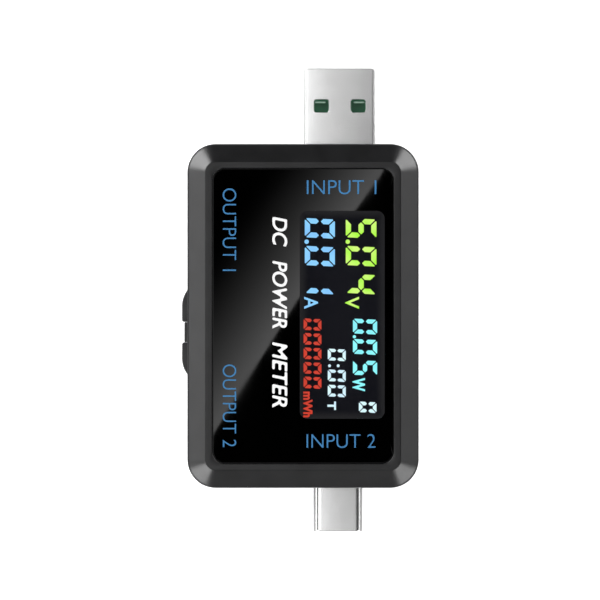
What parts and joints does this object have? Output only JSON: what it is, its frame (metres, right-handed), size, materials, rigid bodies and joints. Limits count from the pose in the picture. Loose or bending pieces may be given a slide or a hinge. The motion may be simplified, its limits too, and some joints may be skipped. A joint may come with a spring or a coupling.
{
  "type": "usb power meter",
  "caption": "Flat rectangular in-line power meter with a backlit display, plugs on both ends, sockets and push keys on one long side.",
  "frame": {"origin": "centre of the case's flat back face, which the meter lies on", "axes": "+Z out of the display, +Y towards the USB-A plug, +X to the right of the display"},
  "size_m": [0.0399, 0.0782, 0.013],
  "materials": {
    "case_plastic": "fine spark-eroded texture",
    "key_plastic": "satin",
    "panel_gloss": "polished, printed on the back",
    "adhesive": "matt",
    "polariser_film": "smooth film",
    "display_glass": "clear",
    "white_film": "matt",
    "guide_acrylic": "clear, polished",
    "led_resin": "clear resin over phosphor",
    "circuit_board": "solder mask over copper",
    "chip_plastic": "moulded epoxy",
    "chip_ceramic": "fired ceramic",
    "tinned_metal": "tinned",
    "plug_steel": "nickel plated, satin",
    "contact_gold": "gold plated",
    "insulator_green": "moulded, satin",
    "insulator_black": "moulded, satin",
    "screw_steel": "zinc plated",
    "plunger_plastic": "moulded"
  },
  "bodies": {
    "case": {"back_shell": "case_plastic", "front_shell": "case_plastic", "case_screws": "screw_steel", "display_window": "panel_gloss", "window_adhesive": "adhesive", "lcd_front_polariser": "polariser_film", "lcd_top_glass": "display_glass", "lcd_bottom_glass": "display_glass", "lcd_rear_polariser": "polariser_film", "lcd_pins": "tinned_metal", "backlight_diffuser": "white_film", "light_guide": "guide_acrylic", "backlight_reflector": "white_film", "backlight_frame": "white_film", "backlight_leds": "led_resin", "main_board": "circuit_board", "microcontroller": "chip_plastic", "current_sense_amplifier": "chip_plastic", "memory_chip": "chip_plastic", "chip_leads": "tinned_metal", "voltage_regulator": "chip_plastic", "shunt_resistor": "chip_plastic", "crystal": "tinned_metal", "supply_inductor": "chip_plastic", "storage_capacitor": "tinned_metal", "ceramic_capacitors": "chip_ceramic", "chip_resistors": "chip_plastic", "usb_a_plug_shell": "plug_steel", "usb_a_plug_insulator": "insulator_green", "usb_a_plug_contacts": "contact_gold", "usb_c_plug_shell": "plug_steel", "usb_c_plug_insulator": "insulator_black", "usb_c_plug_contacts": "contact_gold", "usb_c_plug_latches": "plug_steel", "plug_board": "circuit_board", "plug_board_spacer": "insulator_black", "plug_board_pins": "contact_gold", "usb_a_socket_shell": "plug_steel", "usb_a_socket_insulator": "insulator_green", "usb_a_socket_contacts": "contact_gold", "usb_c_socket_shell": "plug_steel", "usb_c_socket_insulator": "insulator_black", "usb_c_socket_contacts": "contact_gold", "upper_switch_housing": "chip_plastic", "lower_switch_housing": "chip_plastic", "upper_switch_cover": "plug_steel", "lower_switch_cover": "plug_steel", "upper_switch_dome": "plug_steel", "lower_switch_dome": "plug_steel"},
    "upper_button": {"upper_key": "key_plastic", "upper_switch_plunger": "plunger_plastic"},
    "lower_button": {"lower_key": "key_plastic", "lower_switch_plunger": "plunger_plastic"}
  },
  "joints": [
    {"name": "upper_key_slide", "type": "slide", "parent": "case", "child": "upper_button", "axis": [1, 0, 0], "range_m": [0, 0.0003], "stiffness_N_per_m": 5000, "springref_m": -0.0001},
    {"name": "lower_key_slide", "type": "slide", "parent": "case", "child": "lower_button", "axis": [1, 0, 0], "range_m": [0, 0.0003], "stiffness_N_per_m": 5000, "springref_m": -0.0001}
  ]
}
